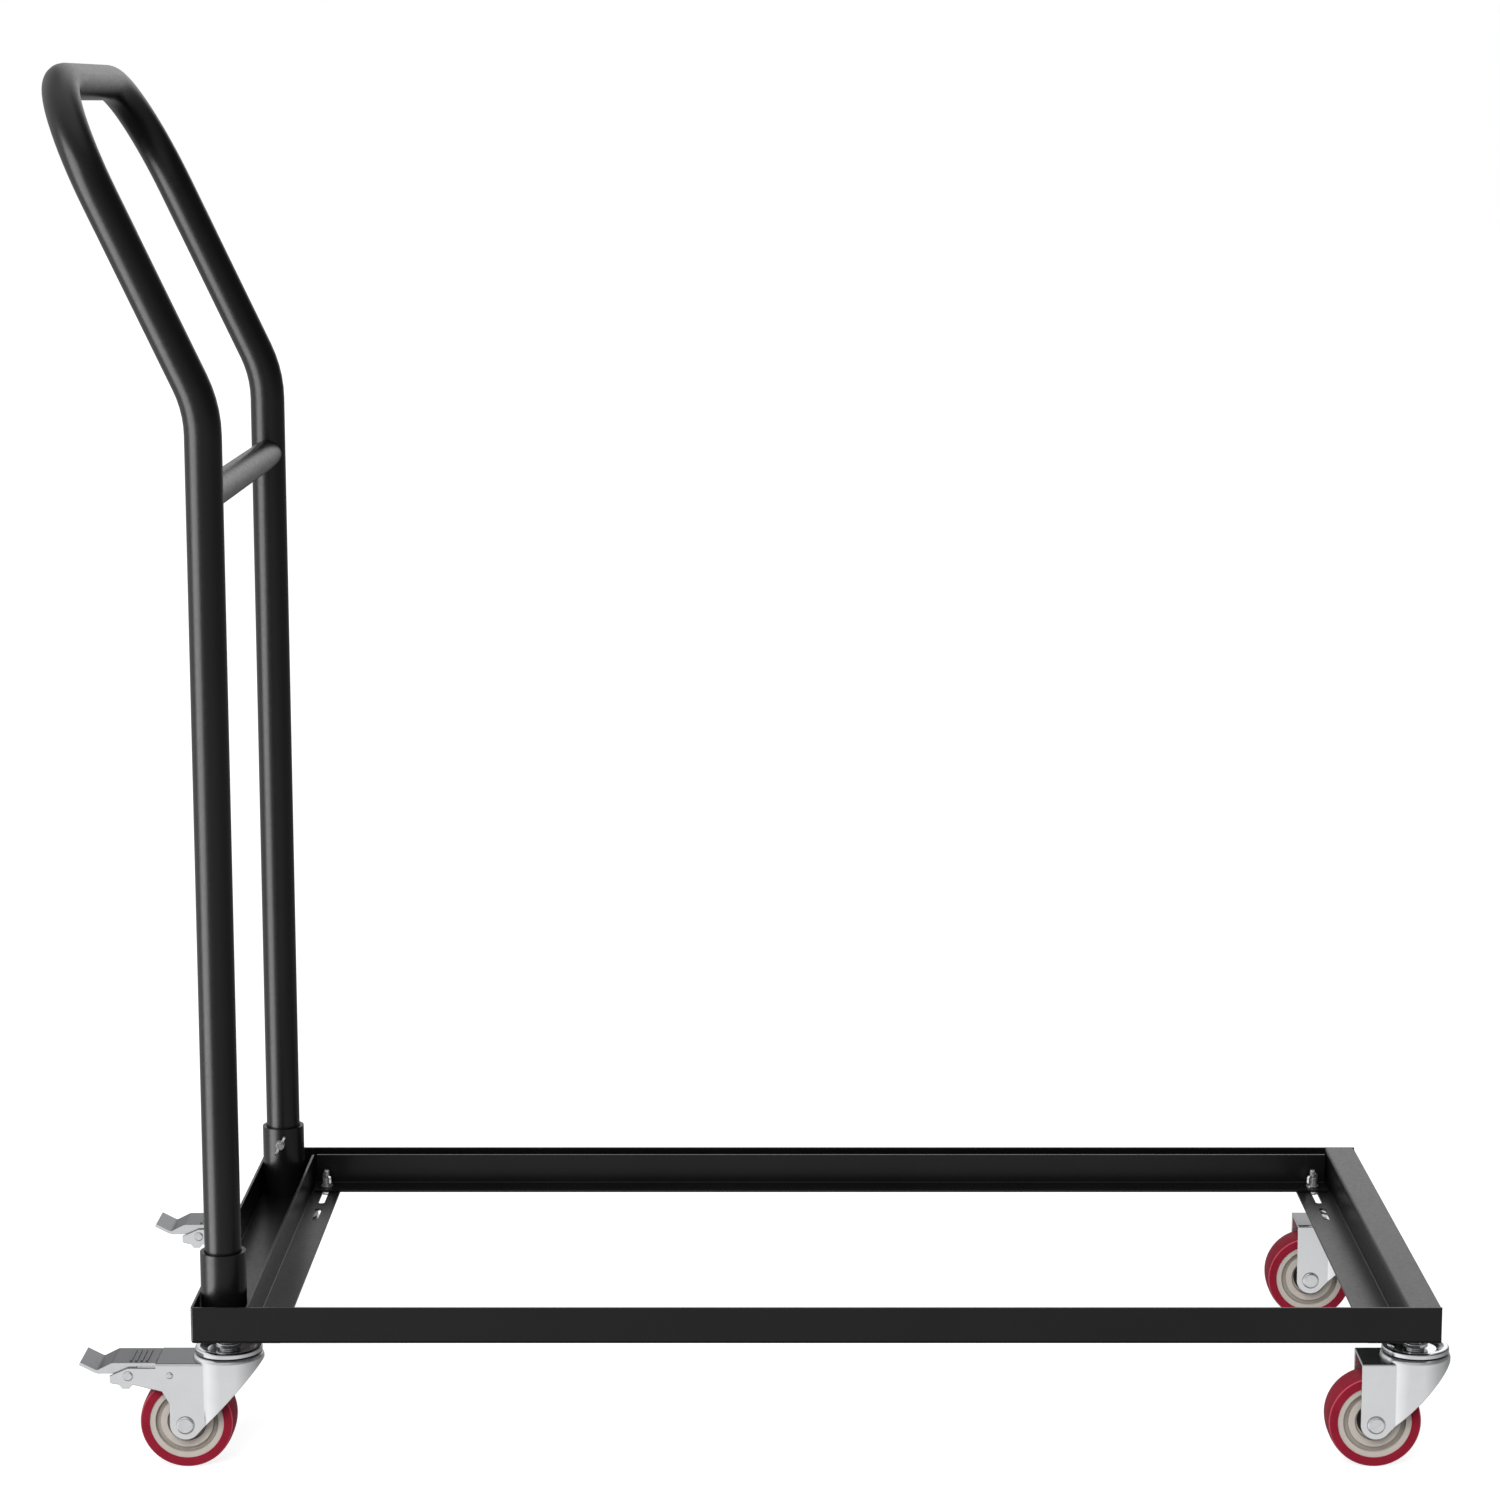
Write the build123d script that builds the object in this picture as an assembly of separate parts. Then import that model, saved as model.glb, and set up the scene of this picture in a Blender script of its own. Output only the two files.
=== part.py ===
from build123d import *
import os
from math import asin, cos, degrees, pi, radians, sin, sqrt, tan

# Base frame, millimetres
frame_length = 1000.0
frame_width = 480.0
rail_height = 30.0
sheet = 2.0
bend_inside = 0.8
corner_round = 1.9
side_flange = 30.0
divider_gap = 26.0
handle_slot_flange = 25.3
toe_web = 28.0
toe_slot_flange = 30.6
caster_plate_length = 70.0
caster_plate = 3.0
front_inset = 42.0
back_inset = 50.0
caster_shift = 2.9

# Slots in the end flanges
slot_play = 0.4
slot_lead = 0.95
slot_tail = 0.45
rail_travel = 45.0
slot_bridge = 16.5
spare_slot_length = 36.0

# Inner rail for the feet of the load, with its clamp bolts
foot_gap = 22.2
inner_flange = 27.1
inner_end_gap = 2.3
clamp_thread = 5.0
clamp_head_diameter = 12.0
clamp_head_height = 3.0
clamp_rise = 15.2
washer_diameter = 11.0
washer_thickness = 1.2

# Handle
tube_diameter = 29.5
tube_wall = 1.5
socket_play = 0.5
socket_wall = 3.2
socket_height = 62.8
socket_gap = 0.65
divider_clear = 4.15
lean_height = 714.6
lean_angle = 25.0
grip_setback = 116.9
bend_radius = 98.0
cross_bar_diameter = 25.0
cross_bar_height = 644.5

# Wing screws and wing nuts
wing_thread = 5.0
wing_drop = 12.8
wing_tip_gap = 0.3
wing_stand_off = 2.0
wing_hub_wall = 1.6
wing_hub_taper = 0.5
wing_hub_height = 7.0
wing_span = 18.5
wing_plate = 2.0
wing_height = 9.0
wing_screw_turn = 62.0
wing_nut_turns = (115.0, 57.0)

# Caster wheel
wheel_diameter = 76.2
tread_width = 30.0
tread_thickness = 8.1
tread_flat = 8.0
tread_crown = 0.8
shoulder_radius = 1.6
hub_inset = 1.0
hub_rim = 4.5
hub_groove_width = 4.2
hub_groove_depth = 4.5
hub_recess_diameter = 32.0
hub_recess_depth = 5.0
hub_step = 1.0
bearing_diameter = 28.0
bearing_width = 7.0
axle_diameter = 8.0
axle_head_diameter = 14.4
axle_head_height = 2.6
axle_head_round = 1.8
axle_nut_flats = 13.0
axle_nut_height = 6.5
spacer_diameter = 14.0

# Caster yoke and swivel
trail = 33.4
fork_sheet = 2.5
fork_gap = 4.5
head_radius = 28.5
head_sheet = 1.85
head_lip = 4.8
head_shoulder = 4.2
boss_radius = 12.3
front_slope = 48.0
tread_gap = 10.75
head_gap = 0.6
ball_diameter = 3.2
ball_wall_gap = 3.5
upper_ball_count = 16
lower_ball_circle = 24.0
lower_ball_count = 12
race_sheet = 1.6
rim_inset = 1.3
rim_height = 2.8
rim_width = 4.0
rim_round = 1.7
rim_foot_round = 0.4
dish_radius = 17.0
lower_race_diameter = 32.0
lower_race = 2.5
pin_diameter = 12.0
pin_head_diameter = 18.0
pin_head_height = 2.0
stem_neck_diameter = 15.0
stem_neck = 1.8
stem_flange_diameter = 20.6
stem_flange = 4.0
stem_flange_round = 1.2
collar_diameter = 17.0
collar_height = 9.8
stem_nut_flats = 17.0
jam_nut_height = 7.0
top_nut_height = 10.0
stem_end = 3.0

# Brake, reaches counted back from the axle
pedal_pivot_reach = 45.4
pedal_pivot_drop = 7.55
ear_reach = 60.2
ear_drop = 1.2
pedal_sheet = 2.5
pedal_front = 23.0
pedal_flat_end = 58.4
pedal_valley_reach = 70.8
pedal_valley_drop = 6.3
pedal_tip_reach = 84.7
pedal_tip_rise = 0.85
pedal_bend = 4.0
pedal_rib_count = 4
pedal_rib_pitch = 4.3
pedal_rib_start = 31.1
pedal_rib_size = (1.8, 28.0, 0.9)
ear_root_drop = 23.6
ear_neck = (5.9, 13.05)
ear_edge_drop = 7.1
ear_corner = (1.6, 5.0, 6.1)
lobe_shift = 1.9
lobe_drop = 10.4
lobe_width = 10.8
lobe_flat = 5.8
lobe_round = 1.2
lug_radius = 7.0
lug_plate = 2.3
pivot_diameter = 6.0
pivot_head_diameter = 7.8
shoe_pin_diameter = 4.0
shoe_pin_head_diameter = 5.2
rivet_head_height = 1.5
rivet_round = 1.1
shoe_clearance = 2.5
shoe_sheet = 2.5
shoe_angles = (100.0, 137.0)
shoe_margin = 0.5
shoe_eye_radius = 3.8
shoe_eye_rise = 0.32
shoe_eye_angle = 105.76

# Hexagon nuts
nut_chamfer = 30.0
nut_face_inset = 0.3

# Fits
running_play = 0.05
fixed_play = 0.02
side_play = 0.3
axle_play = 0.2
bolt_play = 0.2

# Levels, from the floor up
axle_height = wheel_diameter / 2
web_bottom = wheel_diameter + tread_gap
web_top = web_bottom + fork_sheet
head_floor = web_top + head_sheet
upper_ball_level = head_floor + running_play + ball_diameter / 2
race_bottom = upper_ball_level + ball_diameter / 2 + running_play
head_top = race_bottom - head_gap
race_top = race_bottom + race_sheet
rim_top = race_top + rim_height
lower_ball_level = web_top - running_play - ball_diameter / 2
lower_race_top = lower_ball_level - ball_diameter / 2 - running_play
collar_top = race_top + collar_height
frame_bottom = collar_top + jam_nut_height
floor_top = frame_bottom + sheet
rail_top = frame_bottom + rail_height
socket_top = floor_top + socket_height
wing_level = socket_top - wing_drop
lean_level = rail_top + lean_height
grip_level = lean_level + grip_setback / tan(radians(lean_angle))

# Widths and diameters that follow from the fits
socket_bore = tube_diameter + 2 * socket_play
socket_diameter = socket_bore + 2 * socket_wall
slot_width = clamp_thread + 2 * slot_play
clamp_slot_length = slot_lead + rail_travel + slot_tail + slot_width
hub_diameter = wheel_diameter - 2 * tread_thickness
hub_width = tread_width - 2 * hub_inset
yoke_inside = tread_width + 2 * fork_gap
yoke_width = yoke_inside + 2 * fork_sheet
upper_ball_circle = 2 * (head_radius - fork_sheet - ball_wall_gap) - ball_diameter
rim_diameter = 2 * (head_radius - rim_inset)

# Places along and across the cart, with the origin under the middle of the whole outline
socket_axis_inset = sheet + socket_gap + socket_diameter / 2
tray_width = socket_axis_inset + socket_diameter / 2 + divider_clear
handle_flange = tray_width + sheet + handle_slot_flange
toe_flange = toe_web + toe_slot_flange
grip_reach = grip_setback + tube_diameter / 2 - socket_axis_inset
toe_reach = head_radius - toe_web / 2
left = (grip_reach - frame_length - toe_reach) / 2
right = left + frame_length
front = -frame_width / 2
back = frame_width / 2
front_inside = front + sheet
back_inside = back - sheet
inside_width = back_inside - front_inside
divider_inside = left + tray_width + sheet
handle_flange_edge = left + handle_flange
toe_wall = right - toe_web
toe_flange_edge = right - toe_flange
upright_x = left + socket_axis_inset
upright_rows = {"front": front + front_inset, "back": back - back_inset}
grip_x = upright_x - grip_setback
toe_caster_x = right - toe_web / 2
slot_places = ((divider_inside + handle_flange_edge) / 2, (toe_wall + toe_flange_edge) / 2)
inner_outside = back_inside - foot_gap
inner_inside = inner_outside - inner_flange
clamp_y = (inner_outside - sheet + inner_inside) / 2
clamp_slot_start = clamp_y + clamp_thread / 2 + slot_play + slot_lead
caster_places = {
    "handle_front": (upright_x + caster_shift, upright_rows["front"]),
    "handle_back": (upright_x + caster_shift, upright_rows["back"]),
    "toe_front": (toe_caster_x, upright_rows["front"]),
    "toe_back": (toe_caster_x, upright_rows["back"]),
}
braked_casters = ("handle_front", "handle_back")
pedal_level = web_top - pedal_sheet / 2 - axle_height
pedal_pivot = (-pedal_pivot_reach, web_bottom - axle_height - pedal_pivot_drop)
shoe_outer = wheel_diameter / 2 + shoe_clearance + shoe_sheet
shoe_turn = radians(shoe_eye_angle)
shoe_pivot = ((shoe_outer + shoe_eye_rise) * cos(shoe_turn), (shoe_outer + shoe_eye_rise) * sin(shoe_turn))
socket_sides = {"front": -1, "back": 1}

standing = (Align.CENTER, Align.CENTER, Align.MIN)
along_x = Plane.YZ.offset(left)
along_y = Plane.XZ.offset(-back_inside)


def outline(*points):
    """Flat face inside a closed line of straight runs."""
    return make_face(Polyline(*points, close=True))


def folded_sheet(plane, length, *points):
    """Sheet of the frame's gauge, folded along its centre line and drawn out along the plane's normal."""
    centre_line = FilletPolyline(*points, radius=bend_inside + sheet / 2)
    return extrude(plane * trace(centre_line, sheet), length)


def block(low, high):
    """Box between two corners."""
    size = [high[i] - low[i] for i in range(3)]
    middle = [(high[i] + low[i]) / 2 for i in range(3)]
    return Pos(*middle) * Box(*size)


def post(x, y, bottom, top, radius):
    """Round upright between two levels."""
    return Pos(x, y, bottom) * Cylinder(radius, top - bottom, align=standing)


def ring(x, y, bottom, top, radius, bore):
    """Round upright with a round bore."""
    return post(x, y, bottom, top, radius) - post(x, y, bottom, top, bore)


def cross_pin(x, z, start, end, radius):
    """Round bar across the cart, from one y to another."""
    middle = (start + end) / 2
    return Pos(x, middle, z) * Rot(X=90) * Cylinder(radius, abs(end - start))


def turned(profile):
    """Piece turned about the upright axis from a half profile of radius and level."""
    return revolve(Plane.XZ * profile, Axis.Z)


def hex_nut(x, y, bottom, top, flats, bore):
    """Hexagon nut on an upright thread, its corners turned off on both faces."""
    height = top - bottom
    corner = flats / sqrt(3)
    face = flats / 2 - nut_face_inset
    drop = (corner - face) * tan(radians(nut_chamfer))
    sketch = RegularPolygon(flats / 2, 6, major_radius=False) - Circle(bore)
    chamfers = outline((0, 0), (face, 0), (corner, drop), (corner, height - drop), (face, height), (0, height))
    return Pos(x, y, bottom) * (extrude(sketch, height) & turned(chamfers))


def side_rail(wall_face, inward):
    """Folded angle with its wall outside, its floor flange stopping at the two end members."""
    middle = frame_bottom + sheet / 2
    wall_line = wall_face + inward * sheet / 2
    angle = folded_sheet(
        along_x,
        frame_length,
        (wall_line, rail_top),
        (wall_line, middle),
        (wall_face + inward * side_flange, middle),
    )
    inner_face = wall_face + inward * sheet
    far = wall_face + inward * (side_flange + sheet)
    for start, end in ((left, handle_flange_edge), (toe_flange_edge, right)):
        low = (start, min(inner_face, far), frame_bottom - sheet)
        high = (end, max(inner_face, far), rail_top + sheet)
        angle -= block(low, high)
    corners = [e for e in angle.edges().filter_by(Axis.Z) if abs(e.center().Y - wall_face) < sheet / 4]
    return fillet(corners, corner_round)


def end_slots(x):
    """Clamp slot and spare slot through one end flange."""
    cutter = Part()
    start = clamp_slot_start
    for length in (clamp_slot_length, spare_slot_length):
        slot = Rot(Z=90) * SlotOverall(length, slot_width)
        cutter += Pos(x, start - length / 2, frame_bottom - sheet) * extrude(slot, 3 * sheet)
        start -= length + slot_bridge
    return cutter


def handle_end_tray():
    """Outer wall and floor under the sockets, with a hole for each caster stem."""
    middle = frame_bottom + sheet / 2
    tray = folded_sheet(
        along_y,
        inside_width,
        (left + sheet / 2, rail_top),
        (left + sheet / 2, middle),
        (left + tray_width, middle),
    )
    for name in braked_casters:
        x, y = caster_places[name]
        tray -= post(x, y, frame_bottom - sheet, floor_top + sheet, pin_diameter / 2 + bolt_play)
    return tray


def handle_end_angle():
    """Divider wall with the slotted flange, cut back where the row of feet runs through."""
    middle = frame_bottom + sheet / 2
    wall_line = divider_inside - sheet / 2
    angle = folded_sheet(
        along_y,
        inside_width,
        (wall_line, rail_top),
        (wall_line, middle),
        (handle_flange_edge, middle),
    )
    bend_room = bend_inside + sheet
    low = (left + tray_width - sheet, back - divider_gap, floor_top + bend_inside)
    high = (divider_inside + bend_room, back, rail_top + sheet)
    angle -= block(low, high)
    return angle - end_slots(slot_places[0])


def toe_end_rail():
    """One folded sheet: outer wall, flat top web, inner wall and slotted floor flange."""
    upper = rail_top - sheet / 2
    lower = frame_bottom + sheet / 2
    rail = folded_sheet(
        along_y,
        inside_width,
        (right - sheet / 2, frame_bottom),
        (right - sheet / 2, upper),
        (toe_wall + sheet / 2, upper),
        (toe_wall + sheet / 2, lower),
        (toe_flange_edge, lower),
    )
    return rail - end_slots(slot_places[1])


def toe_caster_plates():
    """Plates welded across the underside of the toe end rail, one over each toe caster."""
    plates = []
    for name, (x, y) in caster_places.items():
        if name in braked_casters:
            continue
        half = caster_plate_length / 2
        low = (toe_wall + sheet + bend_inside, y - half, frame_bottom)
        high = (right - sheet, y + half, frame_bottom + caster_plate)
        hole = post(x, y, frame_bottom - sheet, rail_top, pin_diameter / 2 + bolt_play)
        plates.append(block(low, high) - hole)
    return plates


def handle_sockets():
    """Thick tubes on the tray, each with a threaded hole facing the other."""
    sockets = []
    for side_name, side in socket_sides.items():
        y = upright_rows[side_name]
        socket = ring(upright_x, y, floor_top, socket_top, socket_diameter / 2, socket_bore / 2)
        thread = wing_thread / 2 + running_play
        sockets.append(socket - cross_pin(upright_x, wing_level, y, y - side * socket_diameter, thread))
    return sockets


def handle_tube():
    """One tube: up from the front socket, back through the lean, across the grip and down again."""
    first, last = upright_rows.values()
    points = [
        (upright_x, first, floor_top),
        (upright_x, first, lean_level),
        (grip_x, first, grip_level),
        (grip_x, last, grip_level),
        (upright_x, last, lean_level),
        (upright_x, last, floor_top),
    ]
    path = FilletPolyline(*points, radius=bend_radius)
    section = Circle(tube_diameter / 2) - Circle(tube_diameter / 2 - tube_wall)
    return sweep(Pos(*points[0]) * section, path=path)


def cross_bar():
    """Straight tube between the uprights, its ends cut to their round."""
    level = rail_top + cross_bar_height
    radius = cross_bar_diameter / 2
    bar = cross_pin(upright_x, level, *upright_rows.values(), radius)
    bar -= cross_pin(upright_x, level, *upright_rows.values(), radius - tube_wall)
    for y in upright_rows.values():
        low = level - cross_bar_diameter
        high = level + cross_bar_diameter
        bar -= post(upright_x, y, low, high, tube_diameter / 2 + fixed_play)
    return bar


def wing_grip(thread, bore_height):
    """Hub with two ears, standing on its axis, bored from below for a thread."""
    hub = thread / 2 + wing_hub_wall
    grip = Cone(hub, hub - wing_hub_taper, wing_hub_height, align=standing)
    ear_width = (wing_span - thread) / 2
    for side in (-1, 1):
        ear = SlotOverall(wing_height, ear_width, rotation=90)
        x = side * (wing_span - ear_width) / 2
        place = Pos(x, wing_plate / 2, wing_height / 2 + wing_plate / 2)
        grip += place * extrude(Plane.XZ * ear, wing_plate)
    bore = Cylinder(thread / 2 + running_play, bore_height, align=standing)
    return grip - bore


def wing_screw(side_name):
    """Threaded stud through a socket wall, and the wing head on its outer end."""
    inward = -socket_sides[side_name]
    axis_y = upright_rows[side_name]
    tip = axis_y + inward * (tube_diameter / 2 + wing_tip_gap)
    seat = axis_y + inward * (socket_diameter / 2 + wing_stand_off)
    bore_height = wing_hub_height - wing_plate
    end = seat + inward * (bore_height - running_play)
    stud = cross_pin(upright_x, wing_level, tip, end, wing_thread / 2)
    facing = Rot(X=-90 * inward) * Rot(Z=wing_screw_turn)
    head = Pos(upright_x, seat, wing_level) * facing * wing_grip(wing_thread, bore_height)
    return stud, head


def inner_rail():
    """Folded angle that lies across the two end flanges, its wall towards the row of feet."""
    middle = floor_top + sheet / 2
    start = divider_inside + inner_end_gap
    length = toe_wall - inner_end_gap - start
    wall_line = inner_outside - sheet / 2
    rail = folded_sheet(
        Plane.YZ.offset(start),
        length,
        (wall_line, rail_top),
        (wall_line, middle),
        (inner_inside, middle),
    )
    for x in slot_places:
        rail -= post(x, clamp_y, floor_top - sheet, floor_top + 2 * sheet, clamp_thread / 2 + bolt_play)
    return rail


def clamp_bolts():
    """Round-headed bolts, heads under the end flanges, shanks up through slot and rail."""
    bolts = []
    for x in slot_places:
        head_bottom = frame_bottom - clamp_head_height
        head = post(x, clamp_y, head_bottom, frame_bottom, clamp_head_diameter / 2)
        lower_rim = head.edges().filter_by(GeomType.CIRCLE).sort_by(Axis.Z)[0]
        head = fillet(lower_rim, clamp_head_height / 2)
        bolts.append(head + post(x, clamp_y, frame_bottom, floor_top + sheet + clamp_rise, clamp_thread / 2))
    return bolts


def clamp_washer(x):
    """Flat washer under a wing nut."""
    bottom = floor_top + sheet
    bore = clamp_thread / 2 + running_play
    return ring(x, clamp_y, bottom, bottom + washer_thickness, washer_diameter / 2, bore)


def wing_nut(x, turn):
    """Wing nut on its washer."""
    bottom = floor_top + sheet + washer_thickness
    return Pos(x, clamp_y, bottom) * Rot(Z=turn) * wing_grip(clamp_thread, wing_hub_height)


def caster_stem():
    """Swivel pin with a peened head below, a collar, and the threaded stem above."""
    pin = pin_diameter / 2
    head_bottom = lower_race_top - lower_race - pin_head_height
    stem = post(0, 0, head_bottom, head_bottom + pin_head_height, pin_head_diameter / 2)
    stem += post(0, 0, head_bottom, frame_bottom + caster_plate + top_nut_height + stem_end, pin)
    neck_top = race_top + stem_neck
    flange_top = neck_top + stem_flange
    flange = post(0, 0, neck_top, flange_top, stem_flange_diameter / 2)
    stem += post(0, 0, race_top, neck_top, stem_neck_diameter / 2)
    stem += fillet(flange.edges().filter_by(GeomType.CIRCLE), stem_flange_round)
    return stem + post(0, 0, flange_top, collar_top, collar_diameter / 2)


def upper_race():
    """Dish with a thick round rim, fixed on the stem over the balls."""
    bore = pin_diameter / 2 + fixed_play
    rim = rim_diameter / 2
    profile = outline(
        (bore, race_bottom),
        (rim, race_bottom),
        (rim, rim_top),
        (rim - rim_width, rim_top),
        (dish_radius, race_top),
        (bore, race_top),
    )
    top_corners = [v for v in profile.vertices() if v.Y > rim_top - fixed_play]
    profile = fillet(top_corners, rim_round)
    foot = [v for v in profile.vertices() if v.X > rim - fixed_play and v.Y < race_bottom + fixed_play]
    return turned(fillet(foot, rim_foot_round))


def ball_row(level, circle, count):
    """Row of balls on a circle about the swivel axis."""
    balls = []
    for i in range(count):
        angle = 2 * pi * i / count
        place = Pos(circle / 2 * cos(angle), circle / 2 * sin(angle), level)
        balls.append(place * Sphere(ball_diameter / 2))
    return balls


def yoke_profile(braked):
    """Side view of the fork: boss round the axle, sloped front edge and, on a braked one, the rear ear."""
    axle = Pos(-trail, axle_height)
    slope = radians(front_slope)
    touch = (boss_radius * sin(slope), -boss_radius * cos(slope))
    nose = trail + head_radius + fork_sheet
    above = head_top - axle_height + fork_sheet
    profile = outline(
        (-boss_radius, 0),
        (-boss_radius, above),
        (nose, above),
        (nose, touch[1] + (nose - touch[0]) * tan(slope)),
        touch,
    )
    profile += Circle(boss_radius)
    if braked:
        pivot_x, pivot_z = pedal_pivot
        seat = web_bottom - axle_height - ear_drop
        neck_reach, neck_drop = ear_neck
        corner_length, corner_drop, corner_low = ear_corner
        ear_edge = pivot_z - ear_edge_drop
        lobe_low = pivot_z - lobe_drop
        lobe_x = pivot_x - lobe_shift
        ear = outline(
            (-boss_radius, pivot_z - ear_root_drop),
            (-boss_radius - neck_reach, pivot_z - neck_drop),
            (lobe_x + lobe_width / 2, ear_edge),
            (lobe_x + lobe_flat / 2, lobe_low),
            (lobe_x - lobe_flat / 2, lobe_low),
            (lobe_x - lobe_width / 2, ear_edge),
            (-ear_reach + corner_length, pivot_z - corner_low),
            (-ear_reach, pivot_z - corner_drop),
            (-ear_reach, pivot_z),
            (pivot_x, seat),
            (-pedal_front, seat),
            (-pedal_front, web_top - axle_height),
            (-boss_radius, web_top - axle_height),
        )
        lobe_corners = [v for v in ear.vertices() if v.Y < ear_edge + fixed_play and v.X < pivot_x + lobe_width]
        profile += fillet(lobe_corners, lobe_round)
    return axle * profile


def yoke_head():
    """Round head of the fork: floor with the swivel hole, and a wall round the balls."""
    hole = pin_diameter / 2 + running_play
    inner = head_radius - fork_sheet
    lip = head_radius - head_lip
    profile = outline(
        (hole, web_top),
        (hole, head_floor),
        (lip, head_floor),
        (lip, head_top),
        (head_radius, head_top),
        (head_radius, web_bottom),
        (inner, web_bottom),
        (inner, web_top),
    )
    rim = profile.vertices().sort_by(Axis.X)[-2:].sort_by(Axis.Y)[-1]
    return turned(fillet(rim, head_shoulder))


def caster_yoke(braked):
    """Pressed fork: round head with a ball track, web over the wheel and two side plates."""
    reach = trail + (ear_reach if braked else boss_radius)
    web_reach = trail + (pedal_front if braked else boss_radius)
    inner_radius = head_radius - fork_sheet
    plan = Circle(head_radius) + Pos(-reach / 2, 0) * Rectangle(reach, yoke_width)
    hollow = Circle(inner_radius) + Pos(-reach, 0) * Rectangle(2 * reach, yoke_inside)
    walls = extrude(plan - hollow, web_top)
    web = Pos(-web_reach / 2, 0) * Rectangle(web_reach, yoke_width) - Circle(inner_radius)
    walls += Pos(0, 0, web_bottom) * extrude(web, fork_sheet)
    long_edges = walls.edges().filter_by(Axis.X).filter_by_position(Axis.Z, web_top - fixed_play, web_top)
    outer_edges = [e for e in long_edges if abs(e.center().Y) > yoke_inside / 2 + fixed_play]
    walls = fillet(outer_edges, fork_sheet * 0.8) + yoke_head()
    walls &= extrude(Plane.XZ * yoke_profile(braked), yoke_width + head_radius, both=True)
    side = yoke_width
    walls -= cross_pin(-trail, axle_height, -side, side, axle_diameter / 2 + running_play)
    if braked:
        for (x, z), diameter in ((pedal_pivot, pivot_diameter), (shoe_pivot, shoe_pin_diameter)):
            radius = diameter / 2 + running_play
            walls -= cross_pin(x - trail, z + axle_height, -side, side, radius)
    return walls


def axle_bolt():
    """Round-headed axle bolt, its head on the front side."""
    half = yoke_width / 2
    end = half + axle_nut_height + axle_play
    bolt = cross_pin(-trail, axle_height, -half, end, axle_diameter / 2)
    head = cross_pin(-trail, axle_height, -half - axle_head_height, -half, axle_head_diameter / 2)
    face_rim = head.edges().filter_by(GeomType.CIRCLE).sort_by(Axis.Y)[0]
    return bolt + fillet(face_rim, axle_head_round)


def axle_fittings():
    """Axle nut on the back side, and the two spacers between wheel and fork."""
    bore = axle_diameter / 2 + running_play
    inner_half = yoke_inside / 2
    wheel_half = hub_width / 2 - hub_recess_depth + axle_play
    nut = hex_nut(0, 0, 0, axle_nut_height, axle_nut_flats, bore)
    pieces = [Pos(-trail, yoke_width / 2, axle_height) * Rot(X=-90) * nut]
    for side in (-1, 1):
        spacer = cross_pin(-trail, axle_height, side * wheel_half, side * inner_half, spacer_diameter / 2)
        pieces.append(spacer - cross_pin(-trail, axle_height, -inner_half, inner_half, bore))
    return pieces


def on_axle(profile):
    """Wheel piece turned about the axle from a profile of radius and width."""
    return Pos(-trail, 0, axle_height) * revolve(profile, Axis.Y)


def mirrored_profile(*half):
    """Closed profile from the points of its front half, repeated on the back half."""
    back_half = [(radius, -y) for radius, y in reversed(half)]
    return outline(*half, *back_half)


def caster_tyre():
    """Moulded tread on the hub, flat in the middle, with falling flanks and round shoulders."""
    inner = hub_diameter / 2 + fixed_play
    outer = wheel_diameter / 2
    edge = outer - tread_crown
    half = tread_width / 2
    flank = half - tread_flat / 2
    flank_radius = (flank**2 + tread_crown**2) / (2 * tread_crown)
    turn = degrees(asin(flank / flank_radius))
    runs = [Line((outer, -tread_flat / 2), (outer, tread_flat / 2))]
    for side in (-1, 1):
        centre = (outer - flank_radius, side * tread_flat / 2)
        runs.append(CenterArc(centre, flank_radius, 0, side * turn))
    runs.append(Polyline((edge, half), (inner, half), (inner, -half), (edge, -half)))
    profile = make_face(Curve() + runs)
    shoulders = profile.vertices().filter_by_position(Axis.X, edge - fixed_play, edge + fixed_play)
    return on_axle(fillet(shoulders, shoulder_radius))


def caster_hub():
    """Moulded hub with a raised rim, a ring groove and a sunk centre on both faces."""
    half = hub_width / 2
    rim_inner = hub_diameter / 2 - hub_rim
    groove_inner = rim_inner - hub_groove_width
    recess = hub_recess_diameter / 2
    profile = mirrored_profile(
        (bearing_diameter / 2, -half + hub_recess_depth),
        (recess, -half + hub_recess_depth),
        (recess, -half + hub_step),
        (groove_inner, -half + hub_step),
        (groove_inner, -half + hub_groove_depth),
        (rim_inner, -half + hub_groove_depth),
        (rim_inner, -half),
        (hub_diameter / 2, -half),
    )
    return on_axle(profile)


def wheel_bearings():
    """Two bearings pressed into the hub, running on the axle."""
    bore = axle_diameter / 2 + running_play
    outer = bearing_diameter / 2 - fixed_play
    face = hub_width / 2 - hub_recess_depth
    bearings = []
    for side in (-1, 1):
        ends = (side * face, side * (face - bearing_width))
        profile = outline((bore, ends[0]), (outer, ends[0]), (outer, ends[1]), (bore, ends[1]))
        bearings.append(on_axle(profile))
    return bearings


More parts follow.
